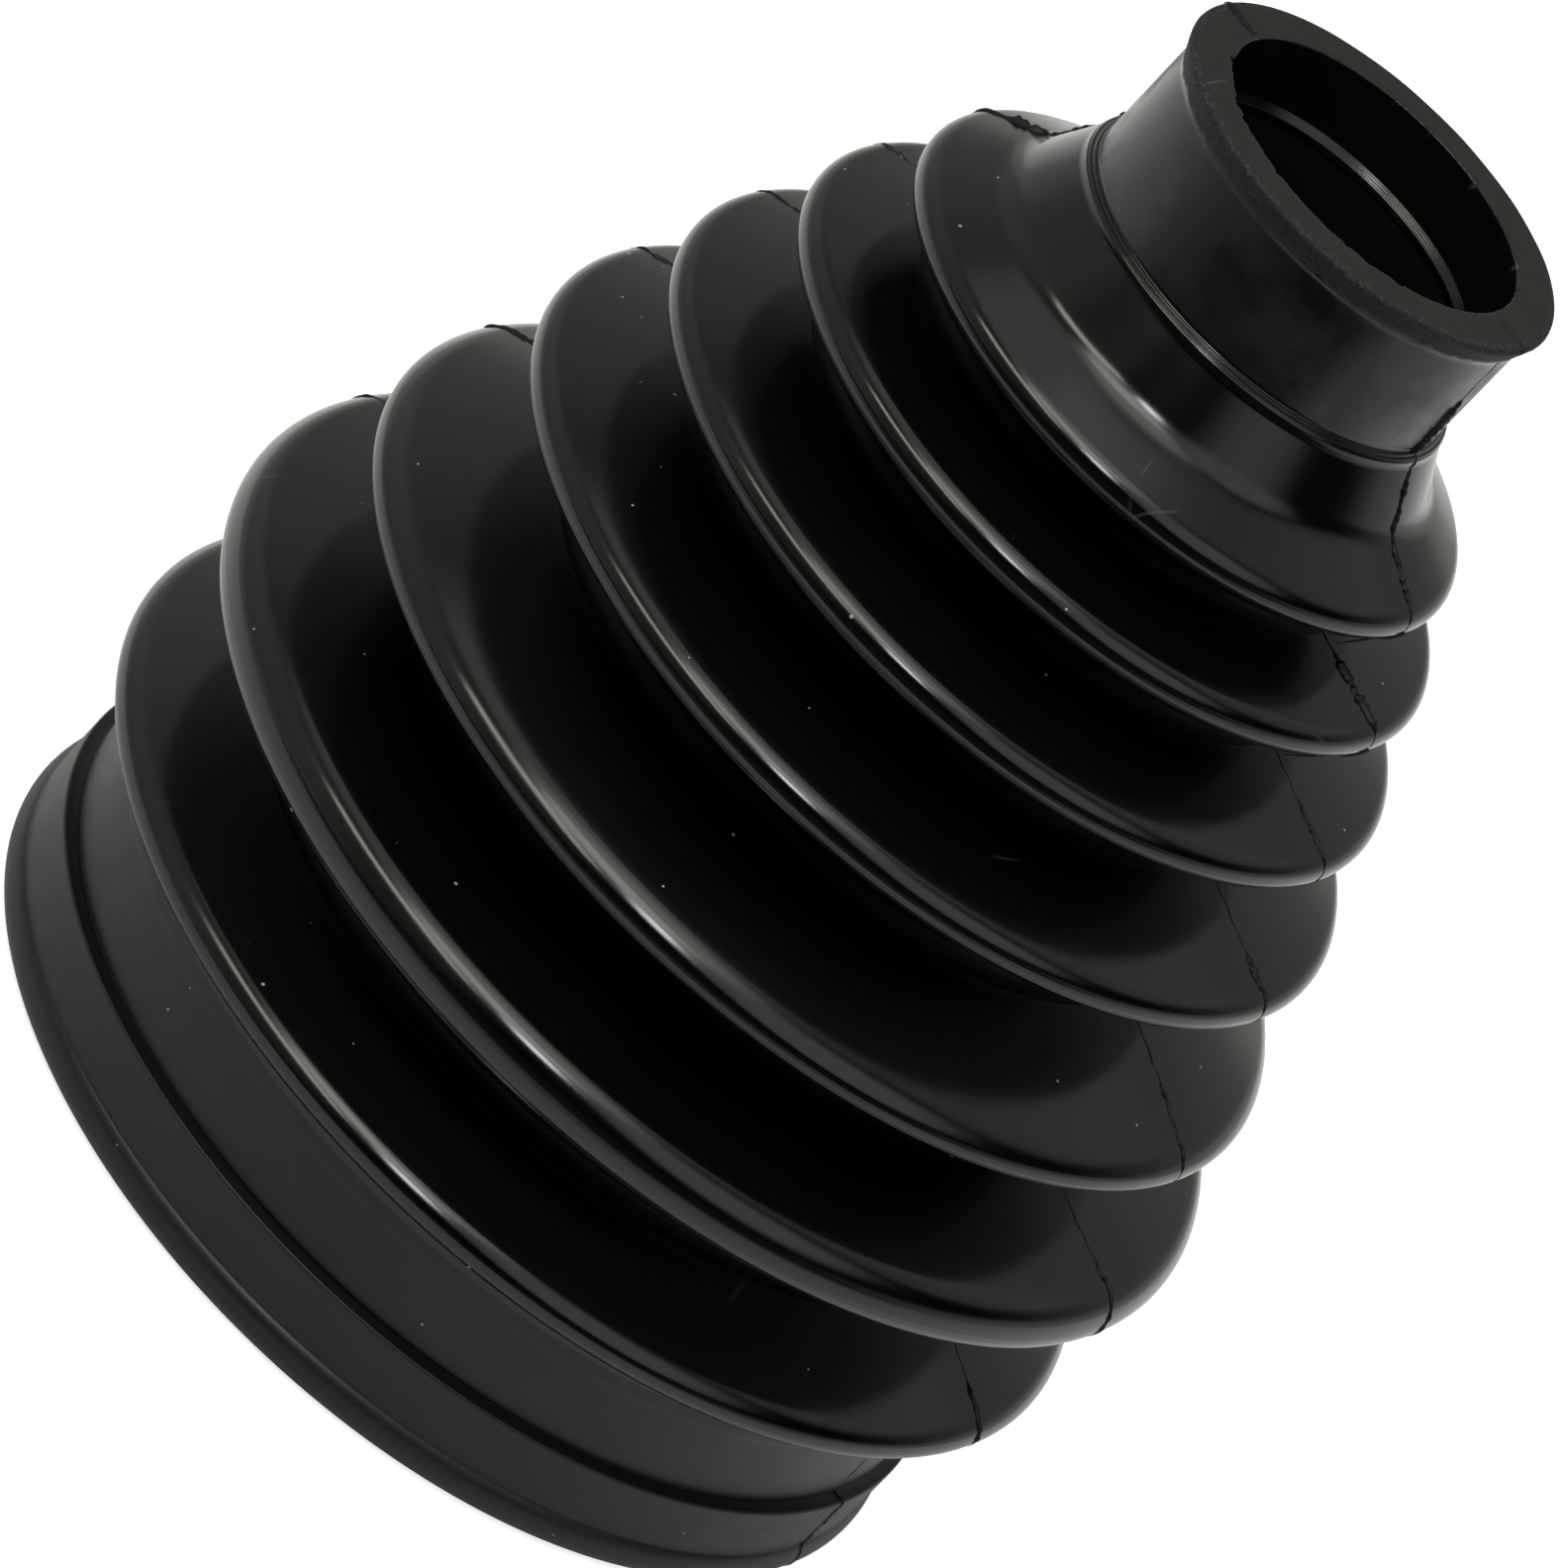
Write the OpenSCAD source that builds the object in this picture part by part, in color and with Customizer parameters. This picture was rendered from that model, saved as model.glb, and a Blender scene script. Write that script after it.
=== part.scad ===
// Rubber bellows boot for a drive shaft joint, moulded in one piece.
// It stands on its large cuff: +Z runs along its axis to the small collar, and the origin
// is the middle of the cuff's flat end. The section is drawn as one closed outline and turned.
// The folds are a chain of rolls, circles joined by their common tangents, and the inside of
// the folds is the same chain, one wall thickness further in.

/* [Small collar] */
// Bore that grips the shaft
shaft_bore_d = 25; // [20:0.5:28]
// Rubber between the bore and the band seat
collar_wall = 2.8; // [2.2:0.1:4]
// Height of the collar, from its step to its end face
collar_h = 11.5; // [9:0.5:16]
// How far the lip over the band seat flares out
lip_flare = 0.9; // [0.4:0.1:1.4]
// Height of the lip's flare
lip_h = 2.2; // [1.5:0.1:3]
// Bevel round the trimmed end face
lip_bevel = 0.3; // [0.2:0.1:0.8]
// How far the step under the band seat stands out
collar_step = 0.7; // [0.4:0.1:1.2]
// Height of that step
collar_step_h = 0.5; // [0.3:0.1:1]
// Height of the sealing rib in the bore
seal_rib_h = 1.1; // [0.6:0.1:2]
// How far the sealing rib stands into the bore
seal_rib_depth = 0.35; // [0.2:0.05:0.6]
// From the end face down to the middle of the sealing rib
seal_rib_inset = 5.8; // [4:0.1:7]

/* [Bellows] */
// Number of folds
folds = 7; // [5:1:9]
// Wall of the folds
wall = 1.5; // [1.2:0.1:1.6]
// Tip radius of the first crest, next to the collar, measured from the axis
first_crest_r = 23.5; // [22:0.5:26]
// How much further out each crest reaches than the one above it, but for the last
crest_step = 3.95; // [3:0.05:4.5]
// How far the last crest stands out from the cuff's band seat
last_crest_proud = 4.35; // [3.5:0.05:6]
// Distance from the first crest to the second
first_pitch = 7.7; // [7.2:0.1:9]
// How much the distance grows from each crest to the next, over the short folds
pitch_step = 1.25; // [0.8:0.05:1.5]
// Number of short folds, counted from the collar
short_folds = 3; // [1:1:4]
// Distance between the crests of the long folds
long_pitch = 12.65; // [11:0.05:14]
// Rounding of the first crest, outside
first_crest_round = 1.65; // [1.65:0.05:2]
// Rounding of the last crest, outside
last_crest_round = 2.5; // [1.8:0.1:2.7]
// Depth of the first valley below the crest above it
first_valley_depth = 4.8; // [4:0.1:6]
// Depth of the last valley below the crest above it
last_valley_depth = 11; // [8:0.1:12]
// Rounding of the valleys, outside
valley_round = 1.9; // [1:0.1:2]
// Height from the first crest to the collar's step
neck_h = 8.35; // [7.5:0.05:10]
// Straight stretch of the neck under the collar's step
neck_straight_h = 1.8; // [0.5:0.1:2.2]
// Hollow rounding from the neck to the first fold
neck_round = 3.5; // [2:0.1:4]

/* [Large cuff] */
// Bore that grips the joint's housing
housing_bore_d = 71; // [68:0.5:74]
// Rubber between the bore and the band seat
cuff_wall = 2.5; // [2:0.1:3.5]
// Height from the cuff's flat end to the last crest
cuff_h = 20.05; // [18:0.05:24]
// From the last crest down to the top of the band seat
shoulder_drop = 5; // [4.9:0.1:6]
// Hollow rounding between the seat and the last fold
shoulder_round = 2; // [1.2:0.1:2.2]
// From the top of the band seat down to the end of the bore
bore_end_drop = 1.5; // [0.5:0.1:2.5]
// Height of the lower edge of the band seat
cuff_seat_z = 7.7; // [6:0.1:9]
// How far the seat stands below the land under it
cuff_seat_depth = 1; // [0.6:0.1:1.5]
// Width and depth of the groove at the foot of the seat
cuff_groove = 0.3; // [0.2:0.1:0.6]
// Rounding of the bead round the cuff's end
bead_round = 1.8; // [1.4:0.1:2.4]
// How far the bead stands out from the land
bead_proud = 0.5; // [0.2:0.1:1]
// Bevel inside the cuff's mouth
mouth_bevel = 0.8; // [0.3:0.1:1]

/* [Hidden] */
$fn = 96;
// Steps in each rounding of the outline
steps = 8;

shaft_r = shaft_bore_d / 2;
collar_r = shaft_r + collar_wall;
lip_r = collar_r + lip_flare;
step_r = collar_r + collar_step;
housing_r = housing_bore_d / 2;
cuff_r = housing_r + cuff_wall;
land_r = cuff_r + cuff_seat_depth;
seat_top_z = cuff_h - shoulder_drop;

// Distance from crest i to the next one
function pitch(i) = i < short_folds ? first_pitch + i * pitch_step : long_pitch;
// Distance from crest i down to the last crest
function drop_below(i) = i >= folds - 1 ? 0 : pitch(i) + drop_below(i + 1);
function crest_z(i) = cuff_h + drop_below(i);
function crest_r(i) = i < folds - 1 ? first_crest_r + i * crest_step : cuff_r + last_crest_proud;
// A value that changes evenly from the first fold to the last
function along_folds(first, last, i) = first + (last - first) * i / (folds - 1);
function crest_round(i) = along_folds(first_crest_round, last_crest_round, i);
function valley_r(i) = crest_r(i) - along_folds(first_valley_depth, last_valley_depth, i);

step_z = crest_z(0) + neck_h;
top_z = step_z + collar_h;
rib_z = top_z - seal_rib_inset;

// Each roll is [distance from the axis, height, radius]: a crest has a positive radius, with
// the rubber on its inner side, and a hollow has a negative one.
function crest_roll(i) = [crest_r(i) - crest_round(i), crest_z(i), crest_round(i)];
function valley_roll(i) = [valley_r(i) + valley_round, (crest_z(i) + crest_z(i + 1)) / 2, -valley_round];
neck_roll = [step_r + neck_round, step_z - collar_step_h - neck_straight_h, -neck_round];
shoulder_roll = [cuff_r + shoulder_round, seat_top_z, -shoulder_round];
rolls = concat(
    [neck_roll],
    [for (i = [0 : folds - 1], part = [0, 1]) if (part == 0 || i < folds - 1)
        part == 0 ? crest_roll(i) : valley_roll(i)],
    [shoulder_roll]);

// Direction of the outward normal on the tangent that joins roll k to the next one
function tangent_angle(k) =
    let (gap = [for (axis = [0, 1]) rolls[k + 1][axis] - rolls[k][axis]])
    atan2(gap[1], gap[0]) + acos((rolls[k][2] - rolls[k + 1][2]) / norm(gap));
function arc(middle, radius, from, to) =
    [for (s = [0 : steps]) let (a = from + (to - from) * s / steps)
        middle + radius * [cos(a), sin(a)]];
// The stretch of the folds' outline that roll k makes, with the wall taken off by inset
function roll_arc(k, inset) =
    arc([rolls[k][0], rolls[k][1]], rolls[k][2] - inset,
        k == 0 ? 0 : tangent_angle(k - 1),
        k == len(rolls) - 1 ? 0 : tangent_angle(k));
function folds_outline(inset) = [for (k = [0 : len(rolls) - 1]) each roll_arc(k, inset)];
function reversed(points) = [for (i = [len(points) - 1 : -1 : 0]) points[i]];

collar_outside = [
    [shaft_r, top_z],
    [lip_r - lip_bevel, top_z],
    [lip_r, top_z - lip_bevel],
    [collar_r, top_z - lip_h],
    [collar_r, step_z + collar_step_h],
    [step_r, step_z]];

cuff_outside = concat(
    [[cuff_r, cuff_seat_z + cuff_groove],
     [cuff_r - cuff_groove, cuff_seat_z + cuff_groove],
     [cuff_r - cuff_groove, cuff_seat_z],
     [land_r, cuff_seat_z]],
    arc([land_r + bead_proud - bead_round, bead_round], bead_round,
        acos(1 - bead_proud / bead_round), -90));

cuff_inside = [
    [housing_r + mouth_bevel, 0],
    [housing_r, mouth_bevel],
    [housing_r, seat_top_z - bore_end_drop]];

collar_inside = concat(
    [[shaft_r, step_z - collar_step_h]],
    [for (s = [0 : steps]) let (t = s / steps)
        [shaft_r - seal_rib_depth * sin(180 * t), rib_z + seal_rib_h * (t - 0.5)]]);

module boot() {
    color([0.05, 0.05, 0.05])
    rotate_extrude()
    polygon(concat(
        collar_outside,
        folds_outline(0),
        cuff_outside,
        cuff_inside,
        reversed(folds_outline(wall)),
        collar_inside));
}

boot();
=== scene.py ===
import math
import random
import bpy
from mathutils import Matrix, Vector


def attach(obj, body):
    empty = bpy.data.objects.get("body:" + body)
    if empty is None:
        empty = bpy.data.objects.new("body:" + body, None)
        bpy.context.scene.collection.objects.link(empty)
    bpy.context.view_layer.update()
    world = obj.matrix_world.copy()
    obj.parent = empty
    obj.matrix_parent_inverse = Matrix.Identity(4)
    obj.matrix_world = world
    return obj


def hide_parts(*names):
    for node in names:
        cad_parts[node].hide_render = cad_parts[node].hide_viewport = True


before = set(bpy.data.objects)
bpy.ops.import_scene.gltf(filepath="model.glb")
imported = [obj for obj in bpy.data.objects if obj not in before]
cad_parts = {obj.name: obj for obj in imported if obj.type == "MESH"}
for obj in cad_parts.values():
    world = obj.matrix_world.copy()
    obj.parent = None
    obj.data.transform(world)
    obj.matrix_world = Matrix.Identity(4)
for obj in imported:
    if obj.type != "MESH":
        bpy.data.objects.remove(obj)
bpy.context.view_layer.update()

# The boot's folds and cuff: one moulding of black rubber, drawn as a section in millimetres and
# turned about the upright axis. A chain of rolls makes the neck and the seven folds. Each nose
# has a sharp tip under a rounder shoulder, with fine mould marks round it.
mm = 0.001
shaft_r = 12.5
collar_r = shaft_r + 2.8
step_r = collar_r + 0.7
step_height = 0.5
collar_height = 11.5
rib_inset = 5.8
rib_height = 1.1
folds = 7
fold_wall = 1.5
housing_r = 35.5
cuff_r = housing_r + 2.5
land_r = cuff_r + 1
crest_radii = [23.5 + 3.95 * i for i in range(folds - 1)] + [cuff_r + 4.35]
crest_gaps = [7.7, 8.95, 10.2, 12.65, 12.65, 12.65]
last_crest_z = 20.05
crest_heights = [last_crest_z + sum(crest_gaps[i:]) for i in range(folds)]
crest_rounds = [1.65 + 0.85 * i / (folds - 1) for i in range(folds)]
valley_depths = [4.8 + 6.2 * i / (folds - 1) for i in range(folds - 1)]
valley_round = 1.9
neck_round = 3.5
neck_height = 8.35
neck_straight = 1.8
seat_foot_z = 7.7
seat_top_z = last_crest_z - 5
seat_ridge_z = seat_top_z - 1.2
seat_ridge_proud = 0.03
groove = 0.3
shoulder_round = 2
bead_round = 1.8
bead_proud = 0.5
crease_depth = 0.05
mouth_bevel = 0.8
bore_end_drop = 1.5
step_z = crest_heights[0] + neck_height
top_z = step_z + collar_height
rib_z = top_z - rib_inset
# The collar's mesh takes over at these two heights, outside and in the bore.
outside_meeting_z = step_z + step_height + 0.25
bore_meeting_z = rib_z - rib_height / 2 - 0.3

tip_rounds = [1.3, 1.3, 1.3, 1.3, 1.3, 2.6, 1.3]
shoulder_rounds = [2, 1.6, 1.75, 1.9, 3.3, 2.6, 2.5]
tip_reaches = [0.25, 0.25, 0.25, 0.25, 0.25, 0, 0.25]
tip_shifts = [-0.3, -0.3, -0.6, -0.7, -0.8, -0.25, -1.1]
nose_turn = math.radians(36)
marks_top = 6
marks_foot = -30
mark_spacing = 12
mark_height = 0.006
valley_hollow = 1.3
neck_hollow = (20.96, 90.55, -3.3)
last_valley_drop = 1.2
crisp_edge = 0.1
soft_edge = 0.25


def bend(middle, radius, angles):
    return [(middle[0] + radius * math.cos(a), middle[1] + radius * math.sin(a)) for a in angles]


def turning(start, end, steps):
    return [start + (end - start) * s / steps for s in range(steps + 1)]


def between(start, end, shares):
    return [tuple(start[k] + (end[k] - start[k]) * s for k in (0, 1)) for s in shares]


def soft_corner(before, corner, after, radius, steps=4):
    a, c, b = Vector(before), Vector(corner), Vector(after)
    start = c + (a - c).normalized() * radius
    end = c + (b - c).normalized() * radius
    shares = [s / steps for s in range(steps + 1)]
    return [tuple(start * (1 - t) ** 2 + c * 2 * t * (1 - t) + end * t ** 2) for t in shares]


def facing_between(near, far):
    across, up = far[0] - near[0], far[1] - near[1]
    return math.atan2(up, across) + math.acos((near[2] - far[2]) / math.hypot(across, up))


def nose(shoulder, tip, start, end):
    line = bend(shoulder, shoulder[2], turning(start, nose_turn, 6))
    top, foot = math.radians(marks_top), math.radians(marks_foot)
    round_tip = turning(nose_turn, top, 5)[1:] + turning(top, foot, 14)[1:] + turning(foot, end, 4)[1:]
    for angle in round_tip:
        above = math.degrees(angle) - marks_foot
        marked = 0 < above < marks_top - marks_foot
        mark = mark_height * math.sin(math.radians(above * 360 / mark_spacing)) if marked else 0
        line += bend(tip, tip[2] + mark, [angle])
    return line


def chain_of_rolls(rolls, inset, steps, flank_shares):
    facings = [facing_between(a[-1], b[0]) for a, b in zip(rolls[:-1], rolls[1:])]
    line = []
    for roll, start, end in zip(rolls, [0] + facings, facings + [0]):
        if len(roll) == 2:
            stretch = nose(*roll, start, end)
        else:
            stretch = bend(roll[0], roll[0][2] - inset, turning(start, end, steps))
        if line:
            line += between(line[-1], stretch[0], flank_shares)
        line += stretch
    return line


# Each roll is its distance from the axis, its height and its radius, which is negative for a
# hollow. An outside nose is two rolls, the shoulder and the tip.
neck_roll = (step_r + neck_round, step_z - step_height - neck_straight, -neck_round)
shoulder_roll = (cuff_r + shoulder_round, seat_top_z, -shoulder_round)
outer_rolls = [[(step_r, step_z - step_height, 0)], [neck_hollow]]
inner_rolls = [[neck_roll]]
tips = []
valley_bottoms = []
for i in range(folds):
    tip_r = crest_radii[i] + tip_reaches[i] - tip_rounds[i]
    tip_z = crest_heights[i] + tip_shifts[i]
    tips.append((tip_r, tip_z, tip_rounds[i]))
    set_back = shoulder_rounds[i] - tip_rounds[i]
    over_r = tip_r - set_back * math.cos(nose_turn)
    over_z = tip_z - set_back * math.sin(nose_turn)
    outer_rolls.append([(over_r, over_z, shoulder_rounds[i]), tips[i]])
    inner_rolls.append([(crest_radii[i] - crest_rounds[i], crest_heights[i], crest_rounds[i])])
    if i < folds - 1:
        valley_r = crest_radii[i] - valley_depths[i]
        valley_z = (crest_heights[i] + crest_heights[i + 1]) / 2
        outside_z = valley_z - (last_valley_drop if i == folds - 2 else 0)
        outer_rolls.append([(valley_r + valley_hollow, outside_z, -valley_hollow)])
        inner_rolls.append([(valley_r + valley_round, valley_z, -valley_round)])
        valley_bottoms.append((valley_r, outside_z))
inner_rolls.append([shoulder_roll])
outer_rolls.append([shoulder_roll])

# The step under the collar's band seat slopes out, with two fine ridges round it.
step_foot = (collar_r, step_z + step_height)
step_edge = (step_r, step_z)
ridge_height = 0.09
ridge_sunk = 0.03
ridge_way = (0.58, 0.81)
ridge_steps = 16
neck_line = [(collar_r, outside_meeting_z)]
neck_line += soft_corner((collar_r, top_z), step_foot, step_edge, crisp_edge, 3)
for s in range(1, ridge_steps):
    on_slope = between(step_foot, step_edge, [0.1 + 0.8 * s / ridge_steps])[0]
    ridge = ridge_height * abs(math.sin(2 * math.pi * s / ridge_steps)) - ridge_sunk
    neck_line.append((on_slope[0] + ridge * ridge_way[0], on_slope[1] + ridge * ridge_way[1]))
neck_line += soft_corner(step_foot, step_edge, (step_r, step_z - 1), crisp_edge, 3)
fold_line = chain_of_rolls(outer_rolls, 0, 8, (0.06, 0.5, 0.94))

# The cuff: a straight band seat with a faint ridge near its top and a narrow groove at its
# foot, a land, and a bead round the end with a crease over it.
seat_corner = (cuff_r, seat_foot_z + groove)
groove_r = cuff_r - groove
bead_middle = (land_r + bead_proud - bead_round, bead_round)
bead_start = math.acos(1 - bead_proud / bead_round)
crease = bend(bead_middle, bead_round, [bead_start])[0]
crease_r = crease[0] - crease_depth
cuff_line = [fold_line[-1]]
cuff_line += between((cuff_r, seat_top_z), seat_corner, (0.02, 0.1))
cuff_line += [(cuff_r + seat_ridge_proud, seat_ridge_z + 0.1), (cuff_r, seat_ridge_z)]
cuff_line += between((cuff_r, seat_ridge_z), seat_corner, (0.05, 0.5, 0.9))
cuff_line += soft_corner((cuff_r, seat_top_z), seat_corner, (groove_r, seat_corner[1]), 0.12)
cuff_line += between((groove_r, seat_foot_z), (groove_r, seat_corner[1]), (0.8, 0.2))
cuff_line += [(cuff_r - groove * 0.8, seat_foot_z)]
cuff_line += soft_corner((cuff_r, seat_foot_z), (land_r, seat_foot_z), (land_r, 0), soft_edge)
cuff_line += between(cuff_line[-1], crease, (0.05, 0.5, 0.93))
cuff_line += [(crease_r, crease[1] + 0.1), (crease_r, crease[1] + 0.02)]
cuff_line += bend(bead_middle, bead_round, turning(bead_start - 0.05, -math.pi / 2, 16))
mouth_edge = (housing_r + mouth_bevel, 0)
mouth_top = (housing_r, mouth_bevel)
bore_end = (housing_r, seat_top_z - bore_end_drop)
inside_line = [mouth_edge]
inside_line += soft_corner(mouth_edge, mouth_top, bore_end, 0.2)
inside_line += between(mouth_top, bore_end, (0.5, 0.97, 1))
inside_line += list(reversed(chain_of_rolls(inner_rolls, fold_wall, 4, (0.1, 0.9))))
inside_line += [(shaft_r, step_z - step_height), (shaft_r, bore_meeting_z)]


def turned_mesh(name, lines, sectors, shaping=None):
    verts, faces, slots = [], [], []
    least_step = 0.0001
    rows = [(point, k) for k, line in enumerate(lines) for point in line]
    rows = [rows[0]] + [b for a, b in zip(rows[:-1], rows[1:]) if math.dist(a[0], b[0]) > least_step]
    angles = [2 * math.pi * c / sectors for c in range(sectors)]
    for (r, z), k in rows:
        for a in angles:
            rr, zz = shaping(r, z, a) if shaping else (r, z)
            verts.append((mm * rr * math.cos(a), mm * rr * math.sin(a), mm * zz))
    for row in range(len(rows) - 1):
        here, under = row * sectors, (row + 1) * sectors
        for c in range(sectors):
            d = (c + 1) % sectors
            faces.append((here + c, under + c, under + d, here + d))
            slots.append(rows[row + 1][1])
    mesh = bpy.data.meshes.new(name)
    mesh.from_pydata(verts, [], faces)
    mesh.polygons.foreach_set("material_index", slots)
    mesh.shade_smooth()
    piece = bpy.data.objects.new(name, mesh)
    bpy.context.scene.collection.objects.link(piece)
    return piece


moulding = turned_mesh("boot_moulding", [neck_line + fold_line, cuff_line, inside_line], 192)


# A new shader node with its settings and inputs. An input named by a number, such as _0, is
# the socket of that number.
def node(tree, kind, **inputs):
    made = tree.nodes.new("ShaderNode" + kind)
    for name, value in inputs.items():
        if name in ("operation", "interpolation_type", "feature", "data_type", "use_clamp"):
            setattr(made, name, value)
        else:
            key = int(name[1:]) if name[0] == "_" else name.replace("_", " ")
            if hasattr(value, "links"):
                tree.links.new(value, made.inputs[key])
            else:
                made.inputs[key].default_value = value
    return made


def reckon(tree, operation, *values, clamp=False):
    numbered = {f"_{k}": value for k, value in enumerate(values)}
    return node(tree, "Math", operation=operation, use_clamp=clamp, **numbered).outputs[0]


def ranged(tree, value, start, end, low=0, high=1):
    made = node(tree, "MapRange", Value=value, From_Min=start, From_Max=end, To_Min=low, To_Max=high)
    return made.outputs[0]


# Sockets 6 and 7 of a Mix node are its two colours, and its output 2 is the blended colour.
def blended(tree, share, first, second):
    return node(tree, "Mix", data_type="RGBA", Factor=share, _6=first, _7=second).outputs[2]


def surface_group(name, numbers, output):
    group = bpy.data.node_groups.new(name, "ShaderNodeTree")
    for label, value in numbers.items():
        socket = group.interface.new_socket(label, in_out="INPUT", socket_type="NodeSocketFloat")
        socket.default_value = value
    group.interface.new_socket(output, in_out="OUTPUT", socket_type="NodeSocketFloat")
    given = group.nodes.new("NodeGroupInput")
    result = group.nodes.new("NodeGroupOutput")
    place = node(group, "TexCoord").outputs["Object"]
    return group, given.outputs, place, result.inputs[output]


# Dust on the rubber: small pale specks of uneven size, in a share of the cells
dust, given, place, mask = surface_group(
    "dust_specks", {"Scale": 420, "Size": 0.065, "Share": 0.25}, "Mask")
cells = node(dust, "TexVoronoi", Vector=place, Scale=given["Scale"], Randomness=1.0)
pick = node(dust, "SeparateColor", Color=cells.outputs["Color"])
speck_size = reckon(dust, "MULTIPLY", given["Size"], pick.outputs[1])
dot = reckon(dust, "LESS_THAN", cells.outputs["Distance"], speck_size)
chosen = reckon(dust, "LESS_THAN", pick.outputs[0], given["Share"])
dust.links.new(reckon(dust, "MULTIPLY", dot, chosen), mask)

# Hairline scratches: short straight lines of even width that fade in and out
scratches, given, place, mask = surface_group(
    "hairline_scratches", {"Scale": 90, "Width": 0.007, "Share": 0.35}, "Mask")
slant = node(scratches, "Mapping", Vector=place, Rotation=(0.5, 0.3, 0.9), Scale=(1, 0.4, 1.5))
field = node(
    scratches, "TexVoronoi", feature="DISTANCE_TO_EDGE", Vector=slant.outputs[0],
    Scale=given["Scale"], Randomness=1.0)
hairline = reckon(scratches, "LESS_THAN", field.outputs["Distance"], given["Width"])
patches = node(scratches, "TexNoise", Vector=place, Scale=130.0, Detail=2.0)
kept = reckon(scratches, "MULTIPLY", hairline, ranged(scratches, patches.outputs[0], 0.66, 0.76))
scratches.links.new(reckon(scratches, "MULTIPLY", kept, given["Share"]), mask)

# Smears: the uneven bloom that handling leaves on moulded rubber, from 0 to 1
smears, given, place, bloom = surface_group("handling_smears", {"Scale": 90, "Contrast": 1}, "Value")
clouds = node(smears, "TexNoise", Vector=place, Scale=given["Scale"], Detail=4.0, Roughness=0.6)
centred = reckon(smears, "SUBTRACT", clouds.outputs[0], 0.5)
smears.links.new(reckon(smears, "MULTIPLY_ADD", centred, given["Contrast"], 0.5, clamp=True), bloom)

# Grain: the fine tooth of the rubber's skin, as a height
grain, given, place, height = surface_group("rubber_grain", {"Scale": 2500}, "Height")
teeth = node(grain, "TexNoise", Vector=place, Scale=given["Scale"], Detail=2.0)
grain.links.new(teeth.outputs[0], height)


def placed(tree, group, **numbers):
    made = tree.nodes.new("ShaderNodeGroup")
    made.node_tree = group
    for name, value in numbers.items():
        made.inputs[name].default_value = value
    return made.outputs[0]


def paint(name):
    material = bpy.data.materials.new(name)
    material.use_nodes = True
    tree = material.node_tree
    tree.nodes.clear()
    output = tree.nodes.new("ShaderNodeOutputMaterial")
    principled = tree.nodes.new("ShaderNodeBsdfPrincipled")
    tree.links.new(principled.outputs["BSDF"], output.inputs["Surface"])
    return material, tree, principled


dust_colour = (0.3, 0.3, 0.28, 1)
scratch_colour = (0.16, 0.16, 0.15, 1)
dust_dulls = 0.4


# Rubber: a black whose roughness goes from smooth to rough with the smears, with dust and
# scratches over it, a tooth in metres, and a share of mirroring, 0.5 for plain rubber.
def rubber(name, black, smooth, rough, smear_scale, contrast, specks, speck_share,
           scratch_share, tooth, tooth_scale, mirroring=0.5):
    material, tree, skin = paint(name)
    smear = placed(tree, smears, Scale=smear_scale, Contrast=contrast)
    speck = placed(tree, dust, Scale=specks, Share=speck_share)
    scratch = placed(tree, scratches, Share=scratch_share)
    dusty = blended(tree, speck, (*black, 1), dust_colour)
    tree.links.new(blended(tree, scratch, dusty, scratch_colour), skin.inputs["Base Color"])
    sheen = ranged(tree, smear, 0, 1, smooth, rough)
    duller = reckon(tree, "MULTIPLY_ADD", speck, dust_dulls, sheen, clamp=True)
    tree.links.new(duller, skin.inputs["Roughness"])
    relief = placed(tree, grain, Scale=tooth_scale)
    bump = node(tree, "Bump", Strength=1.0, Distance=tooth, Height=relief)
    tree.links.new(bump.outputs[0], skin.inputs["Normal"])
    skin.inputs["Specular IOR Level"].default_value = mirroring
    return material, tree, skin


fold_skin = rubber(
    "satin_fold_rubber", black=(0.0012, 0.0012, 0.0011), smooth=0.14, rough=0.2,
    smear_scale=120, contrast=1.6, specks=420, speck_share=0.5, scratch_share=0.22,
    tooth=0.0000012, tooth_scale=2600)[0]
cuff_skin = rubber(
    "matte_cuff_rubber", black=(0.0045, 0.0045, 0.0045), smooth=0.34, rough=0.48,
    smear_scale=80, contrast=1.8, specks=420, speck_share=0.35, scratch_share=0.3,
    tooth=0.000004, tooth_scale=3200, mirroring=0.4)[0]
inner_skin = rubber(
    "inner_rubber", black=(0.004, 0.004, 0.0037), smooth=0.32, rough=0.45,
    smear_scale=60, contrast=1.8, specks=300, speck_share=0.2, scratch_share=0.3,
    tooth=0.000004, tooth_scale=2000)[0]
# Painted shade for the valley bottoms: a blacker colour and weak mirroring, over a rougher skin.
shaded_valley_skin = rubber(
    "dull_valley_rubber_with_painted_shade", black=(0.001, 0.001, 0.001), smooth=0.4, rough=0.5,
    smear_scale=90, contrast=1.5, specks=360, speck_share=0.1, scratch_share=0.1,
    tooth=0.000002, tooth_scale=2600, mirroring=0.12)[0]
for skin in (fold_skin, cuff_skin, inner_skin, shaded_valley_skin):
    moulding.data.materials.append(skin)

# The bottoms of the valleys are dull and carry painted shade, a blacker colour that mirrors less:
# outside faces this near to one take the last slot.
fold_slot = 0
shaded_valley_slot = 3
dull_shade_rise = 1.5
dull_shade_reach = 0.9
for face in moulding.data.polygons:
    across, up = math.hypot(face.center.x, face.center.y) / mm, face.center.z / mm
    deep = any(abs(up - z) < dull_shade_rise and across < r + dull_shade_reach for r, z in valley_bottoms)
    if face.material_index == fold_slot and deep:
        face.material_index = shaded_valley_slot
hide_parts("boot")
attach(moulding, "root")

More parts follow.
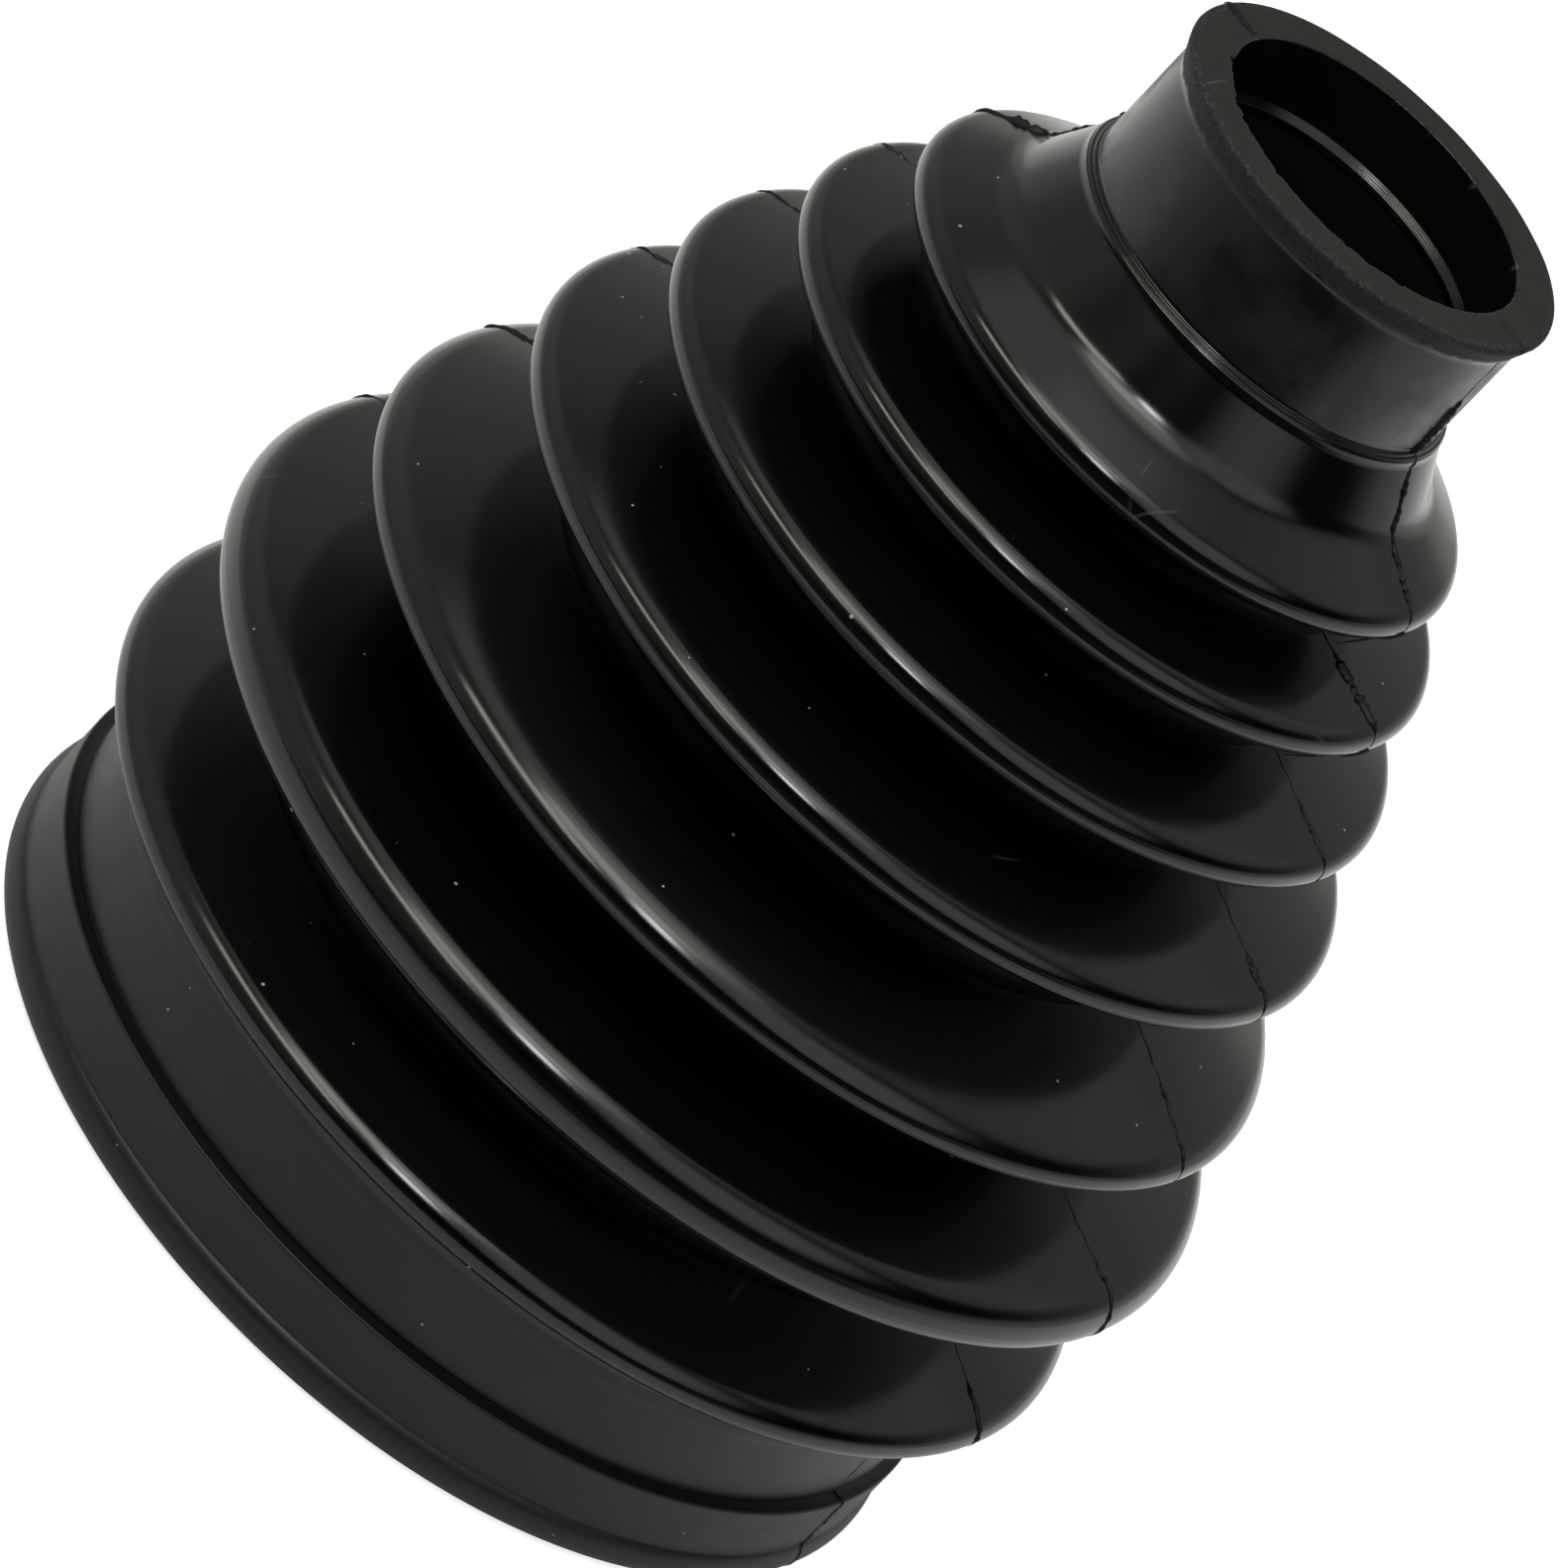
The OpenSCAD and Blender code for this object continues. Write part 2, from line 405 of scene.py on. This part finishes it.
# The boot's collar: the same moulding's small end, with a sealing rib in its bore and a lip
# over the band seat. The end was trimmed with a knife, so the face is dull and scored, the
# rim of the bore is ragged, and the lip's flare keeps the rough skin of the mould's edge.
lip_r = collar_r + 0.9
lip_height = 2.2
lip_bevel = 0.3
lip_ease = 0.4
rim_ease = 0.12
rib_depth = 0.45
rib_lean = 0.12
ring_height = 0.006
ring_count = 4
bore_rim = (shaft_r, top_z)
lip_foot = (collar_r, top_z - lip_height)
rib_foot = (shaft_r, rib_z - rib_height / 2)
rib_head = (shaft_r, rib_z + rib_height / 2)
rib_tip = (shaft_r - rib_depth, rib_z - rib_lean)
bore_line = [(shaft_r, bore_meeting_z)]
bore_line += soft_corner(bore_line[0], rib_foot, rib_tip, crisp_edge, 2)
bore_line += soft_corner(rib_foot, rib_tip, rib_head, 0.12, 3)
for share in (s / 12 for s in range(2, 11)):
    ring = ring_height * math.sin(2 * math.pi * share * ring_count)
    on_rib = between(rib_tip, rib_head, [share])[0]
    bore_line.append((on_rib[0] - ring, on_rib[1] + ring))
bore_line += soft_corner(rib_tip, rib_head, bore_rim, crisp_edge, 2)
bore_line += between(bore_line[-1], bore_rim, (0.06, 0.35, 0.6, 0.75, 0.85, 0.92))
bore_line += soft_corner((shaft_r, top_z - 1), bore_rim, (lip_r, top_z), rim_ease)
face_shares = (0.06, 0.15, 0.25, 0.35, 0.45, 0.55, 0.65, 0.75, 0.85)
face_line = between((shaft_r + rim_ease, top_z), (lip_r - lip_bevel, top_z), face_shares)
lip_corner, lip_under = (lip_r - 0.12, top_z), (lip_r - 0.1, top_z - 1)
side_line = soft_corner(bore_rim, lip_corner, lip_under, lip_ease, 6)
side_line += between(side_line[-1], lip_foot, (0.1, 0.25, 0.4, 0.55, 0.7, 0.82))
side_line += soft_corner((lip_r, top_z - lip_bevel), lip_foot, (collar_r, step_z), 0.2)
seat_ends = ((collar_r, lip_foot[1] - 0.2), (collar_r, outside_meeting_z))
side_line += between(*seat_ends, (0.03, 0.3, 0.65, 1))


# An uneven value round the boot, from -1 to 1: waves of chosen counts to the turn
def wobble(seed, waves, low, high):
    draw = random.Random(seed)
    parts = [(draw.randint(low, high), draw.uniform(0, 2 * math.pi), draw.uniform(0.4, 1))
             for _ in range(waves)]
    scale = sum(p[2] for p in parts)
    return lambda angle: sum(p[2] * math.sin(p[0] * angle + p[1]) for p in parts) / scale


rim_wobble = wobble(seed=1, waves=14, low=15, high=190)
face_wobble = wobble(seed=2, waves=8, low=2, high=24)
lip_wobble = wobble(seed=3, waves=16, low=20, high=260)
seam_wobble = wobble(seed=5, waves=6, low=1, high=9)
# Nicks in the rim of the bore: where, how wide in radians, how deep
knife = random.Random(7)
nicks = [(knife.uniform(0, 2 * math.pi), knife.uniform(0.012, 0.035), knife.uniform(0.05, 0.2))
         for _ in range(30)]
# Furrows of the parting line over the face: where, how wide, how deep
furrows = ((0.02, 0.2, 0.06), (math.pi + 0.02, 0.34, 0.06))
furrow_sway = 0.35
trim_waver = 0.05
bite_slope = 0.4
lip_waver = 0.04
face_waver = 0.03
flare_drop = 1.1
flare_waver = 0.05


def turn_from(angle, other):
    return (angle - other + math.pi) % (2 * math.pi) - math.pi


def hump(across, up=0):
    return math.exp(-across ** 2 - up ** 2)


def trimmed(r, z, angle):
    rim = hump((r - shaft_r) / 0.3, (z - top_z) / 0.4)
    lip = hump((r - lip_r) / 0.4, (z - top_z + lip_bevel) / 0.6)
    bite = sum(depth * hump(turn_from(angle, at) / width) for at, width, depth in nicks)
    if z > top_z - 0.3:
        for at, width, depth in furrows:
            wander = furrow_sway * seam_wobble(r * 0.9 + at)
            wide = width * (1 + 0.4 * seam_wobble(r * 2.3))
            z -= depth * hump((turn_from(angle, at) * r - wander) / wide)
    r += rim * (trim_waver * rim_wobble(angle) + bite) + lip * trim_waver * (lip_wobble(angle) - 1)
    z -= rim * (trim_waver + trim_waver * rim_wobble(angle) + bite_slope * bite)
    z -= lip * lip_waver * (1 + lip_wobble(angle))
    if r > shaft_r + 0.3 and z > top_z - 0.4:
        z -= face_waver * (1 + face_wobble(angle))
    flare = hump((z - top_z + flare_drop) / 0.6) if r > collar_r + 0.05 else 0
    return r + flare * flare_waver * lip_wobble(angle * 3 + z * 5), z


collar = turned_mesh("boot_collar", [bore_line, face_line, side_line], 768, trimmed)
bore_skin = rubber(
    "bore_rubber", black=(0.0022, 0.0022, 0.002), smooth=0.2, rough=0.3,
    smear_scale=200, contrast=1.6, specks=500, speck_share=0.08, scratch_share=0.5,
    tooth=0.000002, tooth_scale=2600)[0]
face_skin = rubber(
    "cut_end_rubber", black=(0.009, 0.009, 0.008), smooth=0.5, rough=0.62,
    smear_scale=300, contrast=1.6, specks=600, speck_share=0.1, scratch_share=0.25,
    tooth=0.000012, tooth_scale=1800, mirroring=0.3)[0]
side_skin, side_tree, side_shader = rubber(
    "collar_side_rubber", black=(0.0022, 0.0022, 0.002), smooth=0.16, rough=0.48,
    smear_scale=150, contrast=3.6, specks=520, speck_share=0.45, scratch_share=0.5,
    tooth=0.000003, tooth_scale=2600)

# The flare's rough skin: dull, speckled grey, and ragged at its lower edge
flare_foot = mm * (top_z - lip_height)
rough_skin = 0.75
spot = node(side_tree, "TexCoord").outputs["Object"]
height_up = node(side_tree, "SeparateXYZ", Vector=spot).outputs["Z"]
ragged = node(side_tree, "TexNoise", Vector=spot, Scale=900.0, Detail=3.0).outputs[0]
edge = reckon(side_tree, "MULTIPLY_ADD", ragged, 0.0011, height_up)
band = ranged(side_tree, edge, flare_foot + 0.0008, flare_foot + 0.0012)
crumbs = node(side_tree, "TexNoise", Vector=spot, Scale=4200.0, Detail=2.0).outputs[0]
crumb_colour = ranged(side_tree, crumbs, 0.5, 0.75, 0.003, 0.035)
colour_socket = side_shader.inputs["Base Color"]
plain_colour = colour_socket.links[0].from_socket
side_tree.links.new(blended(side_tree, band, plain_colour, crumb_colour), colour_socket)
sheen_socket = side_shader.inputs["Roughness"]
plain_sheen = sheen_socket.links[0].from_socket
rough_sheen = node(side_tree, "Mix", data_type="FLOAT", Factor=band, _2=plain_sheen, _3=rough_skin)
side_tree.links.new(rough_sheen.outputs[0], sheen_socket)
for skin in (bore_skin, face_skin, side_skin):
    collar.data.materials.append(skin)
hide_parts("boot")
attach(collar, "root")

# The flash: thin ragged rubber that was pressed out where the two halves of the mould met. It
# runs down the outside at +X and at -X, torn off unevenly, so that some stretches stand up as
# lumps and some are almost gone. Two loose threads of it hang under the first two folds.
seam_gap = 0.12
seam_across = (-1, -0.55, 0, 0.5, 1)
seam_lift = (-0.6, 0.75, 1, 0.6, -0.6)
seam_height = 0.05
seam_width = 0.1
seam_sunk = 0.08
# Torn lumps: least and greatest distance from the axis, least and greatest height up the boot,
# how high, how wide
right_lumps = [
    (15, 16.3, 93.6, 98.3, 0.5, 0.45), (15.4, 16.4, 100.6, 102.2, 0.34, 0.5),
    (16, 23.4, 85, 93, 0.24, 0.22), (21.6, 27, 76.5, 80.6, 0.4, 0.45),
    (27, 31.2, 68.5, 71, 0.2, 0.24), (32, 33.6, 57, 60.5, 0.34, 0.42),
    (33.6, 35.4, 57, 60, 0.2, 0.22), (34, 39.3, 45, 48.5, 0.18, 0.2),
    (39.5, 43.4, 32, 35.5, 0.2, 0.2), (39.4, 42.6, 19, 22.5, 0.26, 0.24),
    (37.9, 39.6, 1.5, 8, 0.14, 0.18), (14.4, 16, 104.5, 105, 0.1, 0.3),
    (13, 14.4, 104.5, 105, 0.04, 0.08)]
left_lumps = [
    (13.5, 15.7, 104.5, 105, 0.12, 0.6), (19.2, 21.6, 85.5, 88.5, 0.5, 0.45),
    (21.6, 23.9, 84, 87, 0.24, 0.22), (17, 19.2, 87, 91, 0.24, 0.24),
    (25.2, 27.3, 76, 79.5, 0.16, 0.2), (28, 31.2, 68, 70.6, 0.14, 0.2),
    (32, 35.2, 57.5, 60.5, 0.16, 0.2), (35.8, 39.4, 45, 48.2, 0.26, 0.34),
    (41, 43.4, 32, 34.5, 0.2, 0.24), (15, 16.3, 92.5, 95, 0.22, 0.2)]


def evenly(points, gap):
    out = []
    for a, b in zip(points[:-1], points[1:]):
        count = max(1, round(math.dist(a, b) / gap))
        out += between(a, b, [s / count for s in range(count)])
    return out + [points[-1]]


# The path of the flash, from near the bore's rim over the face and down the outside
seam_points = [(13, top_z)] + side_line + neck_line[1:] + fold_line + cuff_line
apart = [b for a, b in zip(seam_points[:-1], seam_points[1:]) if math.dist(a, b) > 0.02]
seam_path = evenly(seam_points[:1] + apart, seam_gap)


def flash_strip(angle, lumps, seed):
    ragged = wobble(seed, 16, 40, 330)
    slow = wobble(seed + 1, 7, 6, 60)
    wander = wobble(seed + 2, 10, 8, 120)
    rows = []
    for k, (r, z) in enumerate(seam_path):
        a, b = seam_path[max(0, k - 3)], seam_path[min(len(seam_path) - 1, k + 3)]
        along = Vector((b[0] - a[0], b[1] - a[1])).normalized()
        t = 2 * math.pi * k / len(seam_path)
        height, width = seam_height + seam_height * slow(t), seam_width
        for r_low, r_high, z_low, z_high, lump, wide in lumps:
            if r_low < r < r_high and z_low < z < z_high:
                height, width = lump, wide
        rows.append((r, z, (-along[1], along[0]), t, height, width))
    verts, faces = [], []
    for k, (r, z, out, t, _, _) in enumerate(rows):
        near = rows[max(0, k - 4):k + 5]
        height = sum(row[4] for row in near) / len(near) * (0.75 + 0.9 * ragged(t))
        width = sum(row[5] for row in near) / len(near) * (1 + 0.5 * ragged(t + 1))
        sway = 0.3 * wander(t) + 0.4 * width * ragged(t + 2)
        for across, lift in zip(seam_across, seam_lift):
            up = height * lift if lift > 0 else seam_sunk * lift
            x, y = r + out[0] * up, sway + across * width
            turned_x = x * math.cos(angle) - y * math.sin(angle)
            turned_y = x * math.sin(angle) + y * math.cos(angle)
            verts.append((mm * turned_x, mm * turned_y, mm * max(z + out[1] * up, 0)))
    n = len(seam_across)
    for k in range(len(rows) - 1):
        here, under = k * n, (k + 1) * n
        for c in range(n - 1):
            faces.append((here + c, under + c, under + c + 1, here + c + 1))
    return verts, faces


# A thread is a tube of six sides that thins towards its loose end.
def thread(places, thickness, sides=6):
    verts, faces = [], []
    points = [Vector((r * math.cos(a), r * math.sin(a), z)) for a, r, z in places]
    for k, point in enumerate(points):
        along = (points[min(k + 1, len(points) - 1)] - points[max(k - 1, 0)]).normalized()
        side = along.cross(Vector((0, 0, 1))).normalized()
        over = side.cross(along)
        size = thickness * (1 - 0.7 * k / len(points))
        for c in range(sides):
            a = c * 2 * math.pi / sides
            verts.append(tuple((point + (side * math.cos(a) + over * math.sin(a)) * size) * mm))
    for k in range(len(points) - 1):
        here, beyond = k * sides, (k + 1) * sides
        for c in range(sides):
            d = (c + 1) % sides
            faces.append((here + c, here + d, beyond + d, beyond + c))
    faces += [tuple(range(sides - 1, -1, -1)), tuple(range(len(verts) - sides, len(verts)))]
    return verts, faces


strips = [flash_strip(0, right_lumps, 21), flash_strip(math.pi, left_lumps, 31)]
thread_steps = 24
thread_lift = 0.05
thread_thickness = 0.17
for fold, last_turn, droop in ((0, -15, 0.7), (1, -18, 0.2)):
    tip_r, tip_z, tip_round = tips[fold]
    off = tip_round + thread_lift
    way = []
    for s in range(thread_steps + 1):
        share = s / thread_steps
        under = math.radians(-10 - 50 * min(1, share * 4))
        hang = off * math.sin(under) - droop * share ** 2
        way.append((math.radians(last_turn * share), tip_r + off * math.cos(under), tip_z + hang))
    strips.append(thread(way, thread_thickness))
verts, faces = [], []
for strip_verts, strip_faces in strips:
    faces += [tuple(v + len(verts) for v in face) for face in strip_faces]
    verts += strip_verts
flash_mesh = bpy.data.meshes.new("parting_flash")
flash_mesh.from_pydata(verts, [], faces)
flash_mesh.shade_smooth()
flash = bpy.data.objects.new("parting_flash", flash_mesh)
bpy.context.scene.collection.objects.link(flash)
flash_skin = rubber(
    "flash_rubber", black=(0.0012, 0.0012, 0.0011), smooth=0.42, rough=0.6,
    smear_scale=400, contrast=2, specks=700, speck_share=0.2, scratch_share=0.2,
    tooth=0.000008, tooth_scale=3000, mirroring=0.3)[0]
flash_mesh.materials.append(flash_skin)
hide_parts("boot")
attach(flash, "root")

# The floor: a white sheet that runs on behind the boot, with painted shade in front of it, where its
# colour darkens towards the camera. White walls stand round it, and the room over the camera is dark,
# so the rubber's flanks go black and its sides catch the walls.
sheet_half = 3
sheet_glow = 0.8
to_camera = (0.262, -0.965, 0)
floor_mesh = bpy.data.meshes.new("floor")
floor_corners = [(x * sheet_half, y * sheet_half, 0) for x, y in ((-1, -1), (1, -1), (1, 1), (-1, 1))]
floor_mesh.from_pydata(floor_corners, [], [(0, 1, 2, 3)])
floor = bpy.data.objects.new("floor", floor_mesh)
bpy.context.scene.collection.objects.link(floor)
shaded_floor_paint, floor_tree, floor_skin = paint("white_floor_with_painted_shade")
floor_skin.inputs["Roughness"].default_value = 0.9
floor_skin.inputs["Specular IOR Level"].default_value = 0
floor_skin.inputs["Emission Color"].default_value = (1, 1, 1, 1)
seen = node(floor_tree, "LightPath").outputs
spot = node(floor_tree, "TexCoord").outputs["Object"]
nearer = node(floor_tree, "VectorMath", operation="DOT_PRODUCT", _0=spot, _1=to_camera).outputs["Value"]
# Painted shade: the floor's colour falls from white behind the boot to near black in front of it.
floor_tree.links.new(ranged(floor_tree, nearer, 0.09, 0.18, 0.8, 0.05), floor_skin.inputs["Base Color"])
behind = ranged(floor_tree, nearer, -0.15, 0.05, 0.3, 0)
mirrored = reckon(floor_tree, "MULTIPLY", seen["Is Glossy Ray"], behind)
glow = reckon(floor_tree, "MULTIPLY_ADD", seen["Is Camera Ray"], sheet_glow, mirrored)
floor_tree.links.new(glow, floor_skin.inputs["Emission Strength"])
floor_mesh.materials.append(shaded_floor_paint)

world = bpy.data.worlds.new("studio")
bpy.context.scene.world = world
world.use_nodes = True
sky = world.node_tree
sky.nodes.clear()
sky_out = sky.nodes.new("ShaderNodeOutputWorld")
around = node(sky, "TexCoord").outputs["Generated"]
up_share = node(sky, "SeparateXYZ", Vector=around).outputs["Z"]


def fade(value, start, end, low, high):
    made = node(
        sky, "MapRange", interpolation_type="SMOOTHSTEP", Value=value,
        From_Min=start, From_Max=end, To_Min=low, To_Max=high)
    return made.outputs[0]


def times(one, two):
    return reckon(sky, "MULTIPLY", one, two)


def larger(one, *others):
    for other in others:
        one = reckon(sky, "MAXIMUM", one, other)
    return one


def way_to(azimuth, elevation):
    a, e = math.radians(azimuth), math.radians(elevation)
    return (math.cos(a) * math.cos(e), math.sin(a) * math.cos(e), math.sin(e))


# How squarely a place of the sky lies in a direction, 1 where it is that direction
def facing(azimuth, elevation=0):
    aim = way_to(azimuth, elevation)
    return node(sky, "VectorMath", operation="DOT_PRODUCT", _0=around, _1=aim).outputs["Value"]


back_wall = times(fade(facing(112), 0.1, 0.7, 0, 0.28), fade(up_share, 0.55, 0.8, 1, 0))
overhead = facing(112, 78)
bright_ceiling = larger(fade(overhead, 0.8, 0.92, 0, 0.75), fade(overhead, 0.955, 0.995, 0, 1.1))
ceiling = times(bright_ceiling, fade(facing(180), -0.45, 0.2, 0.25, 1))
left_wall = times(fade(facing(180), 0.3, 0.8, 0, 0.45), fade(up_share, 0.1, 0.5, 0.8, 1))
right_side = fade(facing(-20, 48), 0.86, 0.97, 0, 0.95)
right_back = fade(facing(61, 45), 0.88, 0.98, 0, 0.42)
zenith = fade(facing(-95, 76), 0.9, 0.99, 0, 2.2)
skirting = times(fade(up_share, 0.12, 0.26, 0.5, 0), fade(facing(-60), 0.1, 0.8, 1, 0.1))
low_left = fade(facing(-118, 27), 0.88, 0.97, 0, 0.2)
walls = larger(back_wall, left_wall, skirting, ceiling, right_side, right_back, zenith, low_left)
room = node(sky, "Background", Color=(1, 1, 0.94, 1), Strength=walls)
backdrop = node(sky, "Background", Color=(1, 1, 1, 1))
choose = node(
    sky, "MixShader", _0=node(sky, "LightPath").outputs["Is Camera Ray"],
    _1=room.outputs[0], _2=backdrop.outputs[0])
sky.links.new(choose.outputs[0], sky_out.inputs["Surface"])
lamp_aim = Vector((0, 0, 0.06))


def soft_lamp(name, azimuth, elevation, distance, width, height, radiance, colour, mirrored=True):
    lamp = bpy.data.lights.new(name, "AREA")
    lamp.shape = "RECTANGLE"
    lamp.size = width
    lamp.size_y = height
    lamp.energy = radiance * math.pi * width * height
    lamp.color = colour
    holder = bpy.data.objects.new(name, lamp)
    place = Vector(way_to(azimuth, elevation)) * distance
    holder.location = place + lamp_aim
    holder.rotation_euler = (-place).to_track_quat("-Z", "Y").to_euler()
    holder.visible_glossy = mirrored
    bpy.context.scene.collection.objects.link(holder)


soft_lamp("front_softbox", azimuth=-75, elevation=49.5, distance=1.1,
          width=0.17, height=0.17, radiance=20, colour=(0.9, 0.94, 1))
soft_lamp("side_softbox", azimuth=-122, elevation=48, distance=1.1,
          width=0.75, height=0.15, radiance=6.5, colour=(1, 0.98, 0.86))
soft_lamp("upper_softbox", azimuth=-95, elevation=62, distance=1.1,
          width=0.6, height=0.34, radiance=2.9, colour=(1, 0.99, 0.93))
soft_lamp("fill_softbox", azimuth=60, elevation=80, distance=0.6,
          width=0.4, height=0.4, radiance=1.6, colour=(1, 1, 1), mirrored=False)

# The camera: a long lens from the front, 26 degrees above the floor, rolled so that the boot
# lies across the picture with its collar at the upper right.
camera_azimuth = -74.8
camera_elevation = 26.37
camera_roll = math.radians(43.705)
camera_distance = 0.8341
sight_height = 0.04021
sight_shift = 0.000625
focal_pixels = 12000
image_width = 1578
sensor_width = 36
back = Vector(way_to(camera_azimuth, camera_elevation))
turned = math.radians(camera_azimuth)
level = Vector((-math.sin(turned), math.cos(turned), 0))
upright = back.cross(level)
right = level * math.cos(camera_roll) + upright * math.sin(camera_roll)
up = upright * math.cos(camera_roll) - level * math.sin(camera_roll)
lens = bpy.data.cameras.new("camera")
lens.sensor_fit = "HORIZONTAL"
lens.sensor_width = sensor_width
lens.lens = sensor_width * focal_pixels / image_width
lens.clip_start = 0.05
lens.clip_end = 20
camera = bpy.data.objects.new("camera", lens)
aim = Vector((0, 0, sight_height)) - level * sight_shift
turn = Matrix((right, up, back)).transposed().to_4x4()
camera.matrix_world = Matrix.Translation(aim + back * camera_distance) @ turn
bpy.context.scene.collection.objects.link(camera)
bpy.context.scene.camera = camera
bpy.context.scene.view_settings.view_transform = "Standard"
